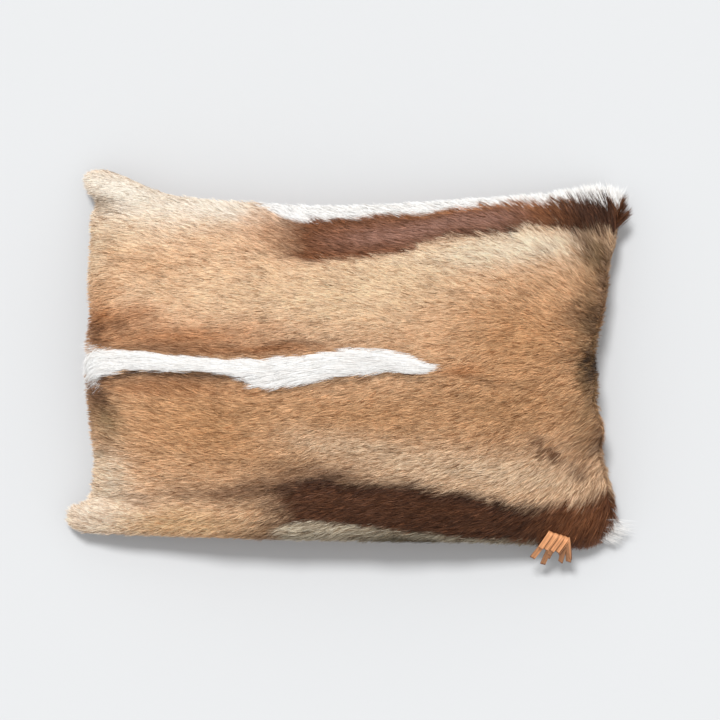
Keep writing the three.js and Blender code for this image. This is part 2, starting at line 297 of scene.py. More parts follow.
def skin_point(s, t):
    plan = skin_plan(s, t)
    x, y = plan[..., 0], plan[..., 1]
    relief = SKIN_PILE + lumps(x, y) + SKIN_CREST * crest(x, y) - puckers(x, y)
    z = seam_height(s, t) + FACE_CROWN * filling(s, t) + relief * rounding(s, t)
    return np.concatenate([plan, z[..., None]], -1)


def beside(share, step):
    return np.maximum(share - step, -1), np.minimum(share + step, 1)


def skin_normal(s, t):
    west, east = beside(s, NORMAL_STEP)
    south, north = beside(t, NORMAL_STEP)
    along = skin_point(east, t) - skin_point(west, t)
    return unit(np.cross(along, skin_point(s, north) - skin_point(s, south)))


def plan_step(s, t, move):
    """How far s and t go for a move in millimetres seen from above."""
    west, east = beside(s, PLAN_STEP)
    south, north = beside(t, PLAN_STEP)
    along = (skin_plan(east, t) - skin_plan(west, t)) / (east - west)[..., None]
    across = (skin_plan(s, north) - skin_plan(s, south)) / (north - south)[..., None]
    area = along[..., 0] * across[..., 1] - across[..., 0] * along[..., 1]
    area = np.where(np.abs(area) < LEAST_AREA, LEAST_AREA, area)
    ds = (move[..., 0] * across[..., 1] - move[..., 1] * across[..., 0]) / area
    dt = (move[..., 1] * along[..., 0] - move[..., 0] * along[..., 1]) / area
    return np.clip(ds, -FARTHEST, FARTHEST), np.clip(dt, -FARTHEST, FARTHEST)


# Colours and markings of the hide

def linear(red, green, blue):
    """Linear colour from the 0 to 255 numbers of a colour picker."""
    part = np.array([red, green, blue]) / 255
    return np.where(part <= 0.04045, part / 12.92, ((part + 0.055) / 1.055) ** 2.4)


# The top stripe's sheen colour here is a painted sheen, and the lower belly's two colours are its white hair
# in painted shade.
PICKED = {
    "tan": (242, 207, 170), "gold": (250, 224, 189), "fawn": (214, 165, 116),
    "ochre": (199, 153, 107), "rust": (186, 126, 78), "cream": (255, 248, 236),
    "butter": (255, 241, 218), "sand": (229, 207, 178), "umber": (118, 82, 58),
    "olive": (132, 110, 78), "black": (48, 34, 26), "deep_belly_shade": (80, 68, 44),
    "stripe": (131, 84, 54), "painted_sheen": (176, 136, 120), "dark": (72, 46, 32),
    "white": (252, 251, 249), "belly_in_shade": (232, 220, 196), "honey": (255, 216, 168),
}
COLOURS = {name: linear(*numbers) for name, numbers in PICKED.items()}

# Soft patches: colour, x, y, heading, half length, half width and strength
PATCHES = (
    ("fawn", 190, 30, 0, 120, 80, 0.85), ("ochre", 185, -45, 0, 120, 45, 0.75),
    ("ochre", 272, 30, 90, 120, 26, 0.6), ("fawn", -150, -60, -6, 150, 70, 0.9),
    ("ochre", -150, -70, -6, 130, 40, 0.35), ("ochre", 30, -50, 0, 110, 36, 0.75),
    ("gold", 0, 78, 8, 120, 34, 0.85), ("gold", -150, 90, -4, 110, 30, 0.35),
    ("fawn", -210, 116, 0, 40, 18, 0.4), ("fawn", -268, 84, 90, 20, 18, 0.5),
    ("sand", -270, 132, 90, 34, 14, 0.85), ("olive", -277, 118, 90, 40, 8, 0.18),
    ("gold", -240, 150, 0, 44, 24, 0.6), ("cream", -255, 196, -18, 66, 32, 0.95),
    ("cream", -160, 178, -4, 100, 24, 0.75), ("cream", -132, 174, -8, 34, 13, 0.6),
    ("butter", 150, 127, 6, 100, 18, 0.95), ("butter", 206, 132, 4, 46, 15, 0.9),
    ("gold", 60, 104, 10, 60, 20, 0.7), ("rust", -82, 146, -20, 28, 20, 0.45),
    ("rust", -180, 34, 3, 110, 16, 0.8), ("umber", -165, 19, -3, 80, 8, 0.7),
    ("umber", -72, 23, 3, 66, 8, 0.7), ("umber", -190, -14, 2, 84, 8, 0.6),
    ("rust", -270, 50, 80, 28, 18, 0.95), ("rust", -238, 54, 8, 40, 15, 0.7),
    ("umber", -244, 46, 12, 22, 8, 0.4), ("rust", -90, 20, 0, 90, 8, 0.6),
    ("umber", -272, 35, 80, 18, 13, 0.9), ("rust", 122, -2, 0, 24, 7, 0.8),
    ("umber", 152, -14, -14, 32, 3, 0.5), ("rust", -190, -22, 0, 90, 9, 0.5),
    # Umber and olive in the hollow at the left edge below the crest: painted shade
    ("umber", -273, -31, 98, 28, 17, 1.0), ("olive", -261, -59, -60, 21, 14, 0.85),
    ("umber", -118, -132, 8, 46, 11, 0.8), ("umber", -66, -126, 10, 30, 14, 0.8),
    # Umber at x -102 by the lower seam: painted shade
    ("umber", -22, -110, -6, 66, 11, 0.7), ("umber", -102, -180, 3, 34, 9, 0.9),
    ("umber", -222, -140, -24, 14, 6, 0.45), ("umber", -176, -133, 2, 28, 6, 0.45),
    # Olive in the notch at x -273, y -96 and in the dimple at the upper left edge: painted shade
    ("olive", -273, -96, 80, 10, 7, 0.7), ("olive", -272, 178, -14, 22, 8, 0.55),
    # Cream at the lower left corner and honey along the lower left seam on the next line: the hide's pale
    # colour, made brighter as painted light where the seam faces away from the key
    ("butter", -262, -120, 90, 30, 26, 0.75), ("cream", -272, -168, -8, 60, 26, 1.0),
    ("honey", -185, -170, 0, 96, 17, 0.9), ("sand", 150, -112, -8, 130, 20, 0.75),
    # The olive at x 273 on this line and all patches on the next four lines: painted shade in the hollows by
    # the right seam and along the right edge
    ("sand", 0, -84, -10, 70, 16, 0.6), ("olive", 273, 122, 100, 22, 14, 0.9),
    ("umber", 258, 138, 110, 18, 11, 0.5), ("umber", 257, 57, 200, 22, 9, 0.8),
    ("black", 264, 54, 210, 12, 6, 0.7), ("olive", 264, 10, 90, 74, 13, 0.7),
    ("umber", 268, 40, 96, 40, 8, 0.5), ("umber", 284, 66, 94, 84, 9, 0.6),
    ("black", 270, 0, 88, 16, 9, 1.0), ("umber", 277, -84, 112, 22, 9, 0.75),
    ("umber", 204, -82, -38, 14, 6, 0.9), ("umber", 221, -93, -42, 14, 8, 0.95),
    ("umber", 246, -110, -25, 15, 6, 0.6), ("umber", 260, -115, -60, 12, 6, 0.6),
)

# The side stripes: x with the upper and lower edge there
TOP_STRIPE = (
    (-84, 150, 118), (-62, 158, 115), (-40, 158, 113), (-22, 160, 112), (13, 162, 117), (54, 166, 121),
    (86, 166, 134), (123, 174, 142), (163, 178, 145), (200, 182, 151), (242, 184, 148), (284, 186, 146),
    (310, 188, 148),
)
BOTTOM_STRIPE = (
    (-78, -124, -152), (-42, -114, -164), (13, -120, -169), (54, -121, -174), (96, -127, -179),
    (130, -133, -183), (159, -140, -185), (191, -147, -188), (212, -147, -192), (242, -142, -200),
    (274, -136, -206), (300, -128, -206),
)

# Where the white belly begins at both long edges: x and y
TOP_BELLY = (
    (-125, 192), (-110, 186), (-101, 180), (-94, 176), (-85, 171), (-74, 165), (-62, 160), (-50, 158),
    (-22, 160), (13, 162), (54, 166), (86, 167), (123, 174), (163, 178), (200, 180), (231, 183),
    (264, 184), (285, 184), (310, 184),
)
BOTTOM_BELLY = (
    (-104, -188), (-92, -180), (-85, -175), (-74, -171), (-63, -167), (-47, -164), (-30, -164), (-9, -167),
    (13, -169), (54, -174), (96, -179), (130, -183), (159, -185), (191, -188), (212, -193), (242, -202),
)

# Colours inside the markings: colour, share that it covers, and from which x to which x
MARKS = {
    # The first mark is a painted sheen along the top stripe's middle.
    "painted_sheen": ("painted_sheen", 0.75, -60, 40),
    "rust side": ("rust", 0.55, 20, 90),
    "dark side": ("dark", 0.6, 60, 150),
    "dark end": ("dark", 1, 205, 262),
    "brown end": ("stripe", 0.8, 190, 240),
    "white belly": ("white", 1, -126, -112),
}
# Half width of the painted sheen along the top stripe's middle
PAINTED_SHEEN_HALF = 13
GREY_CORNER = {"share": 0.6, "x": (284, 302)}
BROWN_DEPTH = {"share": 0.3, "y": (4, 20)}
# The lower belly's white hair in painted shade: share of the darkest shade towards the right, from which x to
# which x, share added with depth below the belly line, and from which depth to which
LOWER_BELLY_SHADE = {"share": 0.6, "x": (-20, 60), "depth_share": 0.4, "y": (4, 16)}

# From which x to which x the stripes and the lower belly begin, and where marks fade away
BEGINS = {"top stripe": (-94, -40), "bottom stripe": (-108, -52), "belly": (-86, -66)}
FADES = {
    "painted_sheen": (160, 215), "shade": (60, 112), "left": (-110, -70), "ragged": (-96, -66), "belly": (246, 262),
}

# How far before and past a line the colour on its other side comes in
SOFT = {"top": (-4, 5), "rust": (-7, -2), "dark": (3, 10), "bottom": (-7, 9), "belly": (-1.5, 2.5)}

# Painted shadow under the crest, over the hide's own darker hair there: its share, also what is added at its
# left end, x, and y from the crest down
SHADE = {"share": 0.35, "left": 0.45, "x": (-290, -262), "edge": (-1, 1), "end": (3, 8)}

# How much of the edges' unevenness reaches a line
RAGGED = {"start": 2, "bottom": 1.6, "upper belly": 0.5, "belly's end": 1.6, "lower belly": 0.5}

# The brightest channel of a colour, and how well brighter colours keep their hue as they are made darker
BRIGHTEST = 0.97
HUE_KEPT = 0.7

# Least channels between which a colour turns pale, and greatest ones between which it is still dark
PALE = (0.55, 0.9)
DARK = (0.1, 0.45)


def fades(x, name):
    start, end = FADES[name]
    return ramp(-x, -end, -start)


def blend(under, over, share):
    return under + (over - under) * share[..., None]


def mark(under, name, x, share):
    """A colour with one of the marks over it."""
    over, strength, start, end = MARKS[name]
    return blend(under, COLOURS[over], strength * share * ramp(x, start, end))


def below_white(colours):
    """Colours made darker where one channel would be past white, so that they keep most of their hue."""
    most = np.maximum(colours.max(-1, keepdims=True) / BRIGHTEST, 1)
    return np.clip(colours / most**HUE_KEPT, 0, BRIGHTEST)


def paleness(colours):
    return ramp(colours.min(-1), *PALE)


def top_stripe(x, y):
    """Brown with a painted sheen along its middle, a rust upper side, a dark lower side and a dark end."""
    upper = line_through(TOP_STRIPE, x)
    lower = line_through(TOP_STRIPE, x, 2)
    middle = np.exp(-(((y - (upper + lower) / 2) / PAINTED_SHEEN_HALF) ** 2))
    brown = mark(COLOURS["stripe"], "painted_sheen", x, middle * fades(x, "painted_sheen"))
    brown = mark(brown, "rust side", x, ramp(y - upper, *SOFT["rust"]))
    brown = mark(brown, "dark side", x, 1 - ramp(y - lower, *SOFT["dark"]))
    return mark(brown, "dark end", x, 1 - GREY_CORNER["share"] * ramp(x, *GREY_CORNER["x"]))


def markings(x, y):
    """The hide's colour at a place seen from above, with painted shade, painted light and a painted sheen in
    some of its marks and patches.
    """
    near_x = x + uneven(x, y, "along")
    near_y = y + uneven(x, y, "across")
    colour = COLOURS["tan"]
    for name, *place, strength in PATCHES:
        colour = blend(colour, COLOURS[name], strength * spot(near_x, near_y, *place))

    wave = uneven(x, y, "edges") + uneven(x, y, "fine edges")
    start = x + RAGGED["start"] * wave
    share = ramp(y + wave - line_through(TOP_STRIPE, x, 2), *SOFT["top"]) * ramp(start, *BEGINS["top stripe"])
    colour = blend(colour, top_stripe(x, y), share)

    depth = line_through(BOTTOM_STRIPE, x) - y
    deep = BROWN_DEPTH["share"] * ramp(depth, *BROWN_DEPTH["y"])
    brown = mark(blend(COLOURS["dark"], COLOURS["stripe"], deep), "brown end", x, 1)
    share = ramp(depth + RAGGED["bottom"] * wave, *SOFT["bottom"]) * ramp(start, *BEGINS["bottom stripe"])
    colour = blend(colour, brown, share)

    # Painted shadow under the crest's lower edge, over the hide's darker hair there, deeper at its left end
    below = line_through(CREST, x, 2) - y
    shade = ramp(below, *SHADE["edge"]) * (1 - ramp(below, *SHADE["end"]))
    shade = shade * ramp(x, *SHADE["x"]) * fades(x, "shade")
    shade = shade * (SHADE["share"] + SHADE["left"] * fades(x, "left"))
    colour = blend(colour, COLOURS["dark"], shade)

    ragged = wave * (RAGGED["upper belly"] + RAGGED["belly's end"] * fades(x, "ragged"))
    share = ramp(y + ragged - line_through(TOP_BELLY, x), *SOFT["belly"])
    colour = mark(colour, "white belly", x, share)

    # The lower belly: its white hair painted as in shade, ivory by the belly line and darker towards the seam
    # and to the right
    depth = line_through(BOTTOM_BELLY, x) - y + RAGGED["lower belly"] * wave
    deep_belly_shade = LOWER_BELLY_SHADE["depth_share"] * ramp(depth, *LOWER_BELLY_SHADE["y"]) + LOWER_BELLY_SHADE["share"] * ramp(x, *LOWER_BELLY_SHADE["x"])
    share = ramp(depth, *SOFT["belly"]) * ramp(x, *BEGINS["belly"]) * fades(x, "belly")
    return blend(colour, blend(COLOURS["belly_in_shade"], COLOURS["deep_belly_shade"], deep_belly_shade), share)


# Lie of the hair: x, y and by how many degrees its tips turn from pointing along -X
LIE = (
    (-243, 194, -12), (-205, 181, -13), (-83, 167, -18), (-37, 150, -16), (-129, 129, -8), (55, 167, 2),
    (55, 133, -11), (175, 133, -9), (207, 122, -20), (238, 122, -35), (238, 178, -20), (268, 145, -75),
    (268, 194, -60), (291, 183, -118), (207, 74, -16), (242, 74, -22), (-170, 85, 0), (-266, 41, 12),
    (-52, 20, 10), (166, 9, 12), (220, -11, 20), (-168, -44, -14), (-250, -62, -14), (85, -57, 8),
    (177, -68, 13), (231, -73, 24), (268, -78, 36), (-83, -128, 12), (57, -122, 8), (144, -122, 19),
    (220, -133, 28), (264, -138, 60), (283, -160, 105), (-170, -144, 0), (135, -177, 0),
)
LIE_REACH = 40

# Longer hair: x, y, reach, and what it adds to length and lift
LONGER = (
    (292, 172, 36, 13, 4), (290, -168, 42, 15, 2.5), (268, -76, 24, 7, 2.5), (90, 186, 60, 4, 0),
    (60, -185, 60, 4, 0),
)


def lie(x, y):
    near = [nearness(x, y, at_x, at_y, 2 * LIE_REACH**2) + 1e-9 for at_x, at_y, _ in LIE]
    return 180 + sum(share * turn for share, (_, _, turn) in zip(near, LIE)) / sum(near)


def long_hair(x, y):
    near = [nearness(x, y, at_x, at_y, reach**2) for at_x, at_y, reach, _, _ in LONGER]
    longer = sum(share * row[3] for share, row in zip(near, LONGER))
    return longer, sum(share * row[4] for share, row in zip(near, LONGER))


# Hair, grown in locks round guides

# Hairs round a guide: shares of its length and lift, waves, late gathering, steps on steep skin, depth of
# the roots and taper
GROWTH = {
    "length": (0.78, 1.12), "lift": (0.3, 1), "waves": 2.6, "gather": 1.4, "steep": 1.25, "steepest": 0.3,
    "sunk": 0.2, "taper": 0.35,
}
FLOOR_GAP = 0.6
EDGE_GIVE = 4

# Brightness of a hair by colour channel, at its root, middle and tip; the darker, warmer roots are painted
# shade deep in the coat
TONE = ((0.6, 0.48, 0.39), (0.96, 0.93, 0.9), (1.09, 1.1, 1.12))
DARK_HAIR = (0.58, 0.49, 0.42)
PALE_HAIR = (1.2, 1.24, 1.3)

# A hair's colour: uneven place along and beside it, uneven shade, also where dark, and evening where pale
PAINT = {"streak": 0.3, "aside": 0.9, "shade": 0.13, "dark_shade": 0.2, "even_shade": 0.8, "even_tone": 0.75}

# The share of dark hairs, what is added towards the lower edge as painted shade, and the share above which
# they are pale
KINDS = {"dark": 0.09, "more": 0.1, "below": (-60, 40), "pale": 0.84}

# Painted shade in strokes between locks: their depth, what is added to the right, where they begin, and the
# rest
LOCK_GAP_SHADE = {"depth": 0.65, "right": 0.2, "right_from": (-60, 140), "in": (0.1, 0.6), "rest": 1.06}


def guide_table(s, t, **columns):
    table = {"s": s, "t": t}
    for name, value in columns.items():
        table[name] = np.broadcast_to(np.asarray(value, float), s.shape).copy()
    return table


def room(place, step, edge):
    """The share of a step that stays inside the edge."""
    end = np.where(step > 0, edge, -edge)
    return np.clip((end - place) / np.where(np.abs(step) < 1e-6, 1e-6 * end, step), 0, 1)


def paint(g, at, shares, white):
    """Colours of hairs by node, from the markings or from one colour."""
    many = len(at)
    colour = markings(*at.T) if white is None else np.broadcast_to(white, (many, 3))
    pale = paleness(colour)
    dark = 1 - ramp(colour.max(-1), *DARK)
    shade = g["shade"] * np.exp(rng.normal(0, 1, many) * (PAINT["shade"] + PAINT["dark_shade"] * dark))
    # Painted shade in strokes between locks, deeper to the right
    depth = LOCK_GAP_SHADE["depth"] + LOCK_GAP_SHADE["right"] * ramp(at[:, 0], *LOCK_GAP_SHADE["right_from"])
    dim = depth * ramp(uneven(*at.T, "strokes"), *LOCK_GAP_SHADE["in"])
    shade = shade[:, None] * LOCK_GAP_SHADE["rest"] * (1 + dim[:, None] * (np.array(DARK_HAIR) - 1))
    kind = rng.uniform(0, 1, many)[:, None]
    is_dark = kind < KINDS["dark"] + KINDS["more"] * ramp(-at[:, 1:], *KINDS["below"])
    shade = np.where(is_dark, shade * DARK_HAIR, np.where(kind > KINDS["pale"], shade * PALE_HAIR, shade))
    shade = 1 + (shade - 1) * (1 - PAINT["even_shade"] * pale)[:, None]
    tone = np.stack([np.interp(shares, [0, 0.5, 1], column) for column in zip(*TONE)], -1)
    tone = tone[None] + (1 - tone[None]) * PAINT["even_tone"] * pale[:, None, None]
    return below_white(colour[:, None, :] * shade[:, None, :] * tone)


def grow(guides, each, nodes, white=None):
    """Hairs round their guides, as centres, half widths and colours by hair and node."""
    pick = np.repeat(np.arange(len(guides["s"])), each)
    g = {name: column[pick] for name, column in guides.items()}
    many = len(pick)
    start = rng.normal(0, 1, (many, 2)) * g["spread"][:, None]
    ds, dt = plan_step(g["s"], g["t"], start)
    edge_s = 1 - rng.uniform(0, EDGE_GIVE / HALF_LENGTH, many)
    edge_t = 1 - rng.uniform(0, EDGE_GIVE / HALF_WIDTH, many)
    s = np.clip(g["s"] + ds, -edge_s, edge_s)
    t = np.clip(g["t"] + dt, -edge_t, edge_t)
    heading = np.radians(g["heading"] + rng.normal(0, 1, many) * g["stray"])
    way = np.stack([np.cos(heading), np.sin(heading)], -1)
    left = np.stack([-way[:, 1], way[:, 0]], -1)
    off_line = (start * left).sum(-1)
    length = g["length"] * rng.uniform(*GROWTH["length"], many)
    lift = g["lift"] * rng.uniform(*GROWTH["lift"], many)
    shares = np.linspace(0, 1, nodes)
    centres = np.empty((many, nodes, 3))
    ups = np.empty((many, nodes, 3))
    over = np.zeros((many, 2))
    done = np.zeros((many, 2))
    for k, share in enumerate(shares):
        if k:
            sway = g["wave"] * (np.sin(GROWTH["waves"] * share + g["phase"]) - np.sin(g["phase"]))
            side = sway - off_line * g["pull"] * share ** GROWTH["gather"]
            target = way * (length * share)[:, None] + left * side[:, None]
            move = target - done
            ds, dt = plan_step(s, t, move)
            fall = skin_point(np.clip(s + ds, -1, 1), np.clip(t + dt, -1, 1))[:, 2] - centres[:, k - 1, 2]
            level = np.hypot(*move.T)
            steep = GROWTH["steep"] * level / np.maximum(np.hypot(level, fall), 1e-6)
            steep = np.clip(steep, GROWTH["steepest"], 1)
            ds = ds * steep
            dt = dt * steep
            inside = np.minimum(room(s, ds, edge_s), room(t, dt, edge_t)) * (np.hypot(*over.T) == 0)
            s = np.clip(s + ds * inside, -edge_s, edge_s)
            t = np.clip(t + dt * inside, -edge_t, edge_t)
            over = over + move * (1 - inside)[:, None]
            done = target
        up = skin_normal(s, t)
        centre = skin_point(s, t) + up * (lift * (1 - (1 - share) ** 2) - GROWTH["sunk"])[:, None]
        centre[:, :2] += over * g["reach"][:, None]
        centre[:, 2] = np.maximum(centre[:, 2] - np.hypot(*over.T) * g["droop"], FLOOR_GAP)
        centres[:, k] = centre
        ups[:, k] = up
    along = unit(np.gradient(centres, axis=1))
    roll = np.radians(rng.normal(0, 1, many) * g["roll"])[:, None, None]
    rolled = ups * np.cos(roll) + np.cross(along, ups) * np.sin(roll)
    thin = 1 - GROWTH["taper"] * shares[None, :, None]
    halves = unit(np.cross(along, rolled)) * (g["width"][:, None, None] / 2) * thin

    streak = g["shift"] * (1 + PAINT["streak"] * rng.normal(0, 1, many))
    aside = rng.normal(0, PAINT["aside"], (many, 2))
    at = centres[:, nodes // 2, :2] + way * streak[:, None] + aside
    return centres, halves, paint(g, at, shares, white)


# Meshes

MAP_MARGIN = 0.02


def in_scene(name, data):
    item = bpy.data.objects.new(name, data)
    bpy.context.collection.objects.link(item)
    return item


def planar_map(points):
    """Places on the export's image, from above."""
    low = np.array(cad_low[:2]) - MAP_MARGIN
    high = np.array(cad_high[:2]) + MAP_MARGIN
    return (points[:, :2] - low) / (high - low)


def mesh_piece(name, points, triangles, colours, map_points=None):
    """A piece from points in metres, their colours and places on the export's image."""
    mesh = bpy.data.meshes.new(name)
    mesh.vertices.add(len(points))
    mesh.vertices.foreach_set("co", points.astype(np.float32).ravel())
    mesh.loops.add(triangles.size)
    mesh.loops.foreach_set("vertex_index", triangles.astype(np.int32).ravel())
    mesh.polygons.add(len(triangles))
    mesh.polygons.foreach_set("loop_start", np.arange(0, triangles.size, 3, dtype=np.int32))
    mesh.update(calc_edges=True)
    mesh.shade_smooth()
    rgba = np.ones((len(points), 4), np.float32)
    rgba[:, :3] = colours
    layer = mesh.color_attributes.new("coat", "FLOAT_COLOR", "POINT")
    layer.data.foreach_set("color", rgba.ravel())
    if map_points is not None:
        layer = mesh.uv_layers.new(name="OFBake")
        layer.data.foreach_set("uv", map_points[triangles.ravel()].astype(np.float32).ravel())
    piece = in_scene(name, mesh)
    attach(piece, "root")
    return piece


def hair_piece(name, centres, halves, colours):
    """One mesh of tapering blades, two points at each node and one at the tip."""
    many, nodes = centres.shape[:2]
    left = (centres - halves)[:, :-1]
    right = (centres + halves)[:, :-1]
    tip = 2 * (nodes - 1)
    pairs = np.stack([left, right], 2).reshape(many, tip, 3)
    points = np.concatenate([pairs, centres[:, -1:]], 1) * MM
    paints = np.concatenate([np.repeat(colours[:, :-1], 2, axis=1), colours[:, -1:]], 1)
    rows = []
    for a in range(0, tip - 2, 2):
        rows += [(a, a + 1, a + 3), (a, a + 3, a + 2)]
    rows.append((tip - 2, tip - 1, tip))
    first = np.arange(many)[:, None, None] * points.shape[1]
    triangles = (np.array(rows)[None] + first).reshape(-1, 3)
    points = points.reshape(-1, 3)
    piece = mesh_piece(name, points, triangles, paints.reshape(-1, 3), planar_map(points))
    piece.data.materials.append(hair_look)
    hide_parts("cushion")
    return piece


# Materials

class Look:
    """A material whose shader gets its values and textures one by one."""

    def __init__(self, name, values):
        self.material = bpy.data.materials.new(name)
        self.material.use_nodes = True
        self.nodes = self.material.node_tree.nodes
        self.link = self.material.node_tree.links.new
        self.shader = self.nodes["Principled BSDF"]
        self.set_inputs(self.shader, values)

    def set_inputs(self, node, values):
        for name, value in values.items():
            node.inputs[name].default_value = value

    def painted(self):
        coat = self.nodes.new("ShaderNodeAttribute")
        coat.attribute_name = "coat"
        return coat.outputs["Color"]

    def texture(self, kind, values):
        """A texture in the piece's own coordinates."""
        place = self.nodes.new("ShaderNodeTexCoord")
        node = self.nodes.new(kind)
        self.set_inputs(node, values)
        self.link(place.outputs["Object"], node.inputs["Vector"])
        return node

    def noise(self, scale, detail):
        return self.texture("ShaderNodeTexNoise", {"Scale": scale, "Detail": detail}).outputs["Fac"]

    def between(self, low, high, source):
        """A value from low to high as the source goes from 0 to 1."""
        node = self.nodes.new("ShaderNodeMapRange")
        self.set_inputs(node, {"To Min": low, "To Max": high})
        self.link(source, node.inputs["Value"])
        return node.outputs["Result"]

    def colour(self, colour, brightness):
        node = self.nodes.new("ShaderNodeVectorMath")
        node.operation = "SCALE"
        self.link(colour, node.inputs[0])
        self.link(brightness, node.inputs["Scale"])
        self.link(node.outputs["Vector"], self.shader.inputs["Base Color"])

    def bump(self, strength, distance, height):
        node = self.nodes.new("ShaderNodeBump")
        self.set_inputs(node, {"Strength": strength, "Distance": distance})
        self.link(height, node.inputs["Height"])
        self.link(node.outputs["Normal"], self.shader.inputs["Normal"])


def hair_material():
    look = Look("springbok hair", {"Specular IOR Level": 0.18})
    fleck = look.noise(420, 2)
    look.colour(look.painted(), look.between(0.88, 1.1, fleck))
    look.link(look.between(0.45, 0.62, fleck), look.shader.inputs["Roughness"])
    return look.material


def skin_material():
    look = Look("hide under the hair", {"Roughness": 0.8})
    fleck = look.noise(900, 3)
    look.colour(look.painted(), look.between(0.7, 1.2, fleck))
    look.bump(0.5, 0.0006, fleck)
    return look.material


def suede_material():
    look = Look("suede back", {
        "Roughness": 0.9, "Specular IOR Level": 0.2, "Sheen Weight": 0.25, "Sheen Roughness": 0.5,
    })
    clouds = look.nodes.new("ShaderNodeValToRGB")
    dark, light = clouds.color_ramp.elements
    dark.position = 0.3
    light.position = 0.72
    dark.color = (*linear(112, 82, 60), 1)
    light.color = (*linear(146, 110, 82), 1)
    look.link(look.noise(22, 4), clouds.inputs["Fac"])
    nap = look.noise(700, 3)
    look.colour(clouds.outputs["Color"], look.between(0.78, 1.18, nap))
    look.bump(0.35, 0.0005, nap)
    return look.material


def strip_material():
    look = Look("strip leather", {"Roughness": 0.62, "Specular IOR Level": 0.3})
    look.colour(look.painted(), look.between(0.82, 1.14, look.noise(160, 4)))
    grain = look.texture("ShaderNodeTexVoronoi", {"Scale": 1400})
    look.bump(0.3, 0.0002, grain.outputs["Distance"])
    return look.material


hair_look = hair_material()


# The camera first, straight above the face

PIXEL = 1.09
IMAGE = 720
SENSOR = 36
CAMERA = {"x": 13, "y": 9, "height": 3500}
lens = bpy.data.cameras.new("camera")
lens.sensor_width = SENSOR
lens.lens = SENSOR * CAMERA["height"] / (IMAGE * PIXEL)
camera = in_scene("camera", lens)
camera.location = (CAMERA["x"] * MM, CAMERA["y"] * MM, (SEAM_HEIGHT + CAMERA["height"]) * MM)
bpy.context.scene.camera = camera

# Skin and back in one closed piece

COLUMNS = 130
ROWS = 92
CROWDED = 0.4
# Skin under the hair, darker as painted shade deep in the coat: share of the hair's root tone where the hair
# is not pale, and brightness where it is
SKIN_TONE = {"dark": 0.85, "pale": 0.8}

# Each side's share of the exported image's width, and where the back begins
MAP_SHARE = 0.49
MAP_BACK = 0.51

# Gathers from the seam: depth, where it is reached, pitch, and the height from which they are full
GATHER = {"deep": 1.5, "reach": 9, "pitch": 21, "clear": 12}


def crowded(count):
    even = np.linspace(-1, 1, count + 1)
    return (1 - CROWDED) * even + CROWDED * np.sin(even * math.pi / 2)


def gathered_back(s, t):
    """The back, with small gathers from the seam."""
    height = back_height(s, t)
    plan = skin_plan(s, t)
    x, y = plan[..., 0], plan[..., 1]
    from_end = (1 - np.abs(s)) * HALF_LENGTH
    from_side = (1 - np.abs(t)) * HALF_WIDTH
    inwards = np.minimum(from_end, from_side) / GATHER["reach"]
    round_seam = np.where(from_end < from_side, y, x)
    wave = np.sin(2 * math.pi * round_seam / GATHER["pitch"] + uneven(x, y, "gathers"))
    fold = (wave + 1) / 2 * inwards * np.exp(1 - inwards)
    z = np.maximum(height + GATHER["deep"] * fold * np.minimum(height / GATHER["clear"], 1), 0)
    return np.concatenate([plan, z[..., None]], -1)


def grid_triangles(n):
    a, b, c, d = n[:-1, :-1], n[1:, :-1], n[1:, 1:], n[:-1, 1:]
    return np.stack([a, b, c, a, c, d], -1).reshape(-1, 3)


across_s, across_t = np.meshgrid(crowded(COLUMNS), crowded(ROWS), indexing="ij")
face = skin_point(across_s, across_t)
back = gathered_back(across_s, across_t)
number = np.arange(across_s.size).reshape(across_s.shape)
at_seam = np.ones(number.shape, bool)
at_seam[1:-1, 1:-1] = False
face_triangles = grid_triangles(number)
back_triangles = grid_triangles(np.where(at_seam, number, number + number.size))[:, ::-1]
points = np.concatenate([face.reshape(-1, 3), back.reshape(-1, 3)]) * MM
triangles = np.concatenate([face_triangles, back_triangles])
under_hair = markings(face[..., 0], face[..., 1])
# The skin takes the markings, made darker as painted shade deep in the coat
pale = paleness(under_hair)[..., None]
skin_in_shade = np.array(TONE[0]) * SKIN_TONE["dark"] * (1 - pale)
under_hair = under_hair * (skin_in_shade + SKIN_TONE["pale"] * pale)
colours = np.concatenate([under_hair.reshape(-1, 3)] * 2)
places = planar_map(points) * (MAP_SHARE, 1)
places[number.size:, 0] += MAP_BACK
body = mesh_piece("cushion_body", points, triangles, colours, places)
body.data.materials.append(skin_material())
body.data.materials.append(suede_material())
is_back = np.arange(len(triangles)) >= len(face_triangles)
body.data.polygons.foreach_set("material_index", is_back.astype(np.int32))
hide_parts("cushion")

# The short coat, in four pieces

GUIDES = {"long": 136, "short": 90, "hairs": 21}
COAT = {"length": 13.5, "lift": 3.6, "pull": 0.62}
COAT_HAIR = {"spread": 2.3, "width": 0.6, "roll": 30, "stray": 4, "wave": 0.4, "reach": 0.34, "droop": 0.85}

# How guides differ in heading, length, lift, shift of the colour within limits, and brightness
VARIES = {
    "heading": 4, "length": (0.85, 1.15), "lift": (0.75, 1.25), "shift": 5, "shifts": (-9, 6), "shade": 0.08,
}

# At the left end the hair gathers less, by a share and from which -s to which
LOOSE = {"share": 0.7, "s": (0.92, 0.98)}

# Without short hair: the crest's middle, and most of the upper right corner, where long locks lie
BARE = {"crest": 0.8, "share": 0.7, "place": (276, 202, -8, 46, 13)}

thin_out = 1


def hairs(each):
    return max(1, round(each * thin_out))


